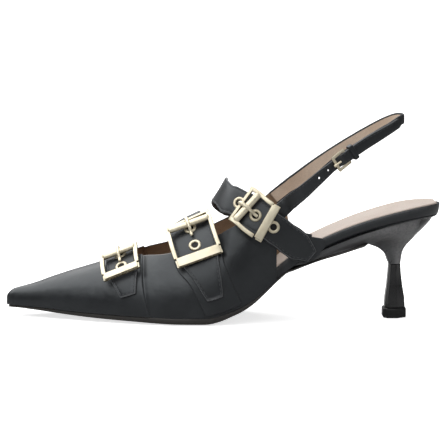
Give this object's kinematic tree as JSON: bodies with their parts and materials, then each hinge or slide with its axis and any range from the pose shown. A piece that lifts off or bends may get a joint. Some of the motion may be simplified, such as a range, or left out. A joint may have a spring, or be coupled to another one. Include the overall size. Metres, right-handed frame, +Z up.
{
  "type": "slingback pump",
  "caption": "Pointed slingback pump with buckled straps over an open vamp, a thin heel strap and a flared kitten heel, in smooth dark leather with pale gold fittings.",
  "frame": {"origin": "middle of the flat spot under the ball of the foot, on the floor", "axes": "+X from the toe to the heel, +Y to the inner side of the foot, +Z up; the buckled outer side is -Y"},
  "size_m": [0.263, 0.0755, 0.1239],
  "materials": {
    "upper_leather": "smooth leather, semi-matte",
    "strap_leather": "smooth leather, semi-matte, edge stitched",
    "rand_leather": "smooth leather wrapped over the insole board",
    "sock": "soft pinkish beige lining leather",
    "sole": "thin leather sole, dark edge",
    "heel_cup": "heel block covered in smooth leather",
    "heel_lacquer": "glossy faceted stem",
    "top_piece": "satin",
    "buckle_metal": "pale gold plating, lightly brushed"
  },
  "bodies": {
    "root": {"base_middle": "strap_leather", "base_rear": "strap_leather", "buckle_front_frame": "buckle_metal", "buckle_front_prong": "buckle_metal", "buckle_front_roller": "buckle_metal", "buckle_middle_frame": "buckle_metal", "buckle_middle_prong": "buckle_metal", "buckle_middle_roller": "buckle_metal", "buckle_rear_frame": "buckle_metal", "buckle_rear_prong": "buckle_metal", "buckle_rear_roller": "buckle_metal", "eyelet_front_1": "buckle_metal", "eyelet_front_2": "buckle_metal", "eyelet_middle_1": "buckle_metal", "eyelet_middle_2": "buckle_metal", "eyelet_rear_1": "buckle_metal", "eyelet_rear_2": "buckle_metal", "eyelet_rear_3": "buckle_metal", "heel_block": "heel_cup", "heel_stem": "heel_lacquer", "heel_top_piece": "top_piece", "insole_board": "rand_leather", "outsole": "sole", "sling_billet": "strap_leather", "sling_buckle_frame": "buckle_metal", "sling_buckle_prong": "buckle_metal", "sling_keeper": "strap_leather", "sling_strap": "strap_leather", "sock_lining": "sock", "strap_front": "strap_leather", "strap_middle": "strap_leather", "strap_rear": "strap_leather", "upper": "upper_leather"}
  },
  "joints": []
}
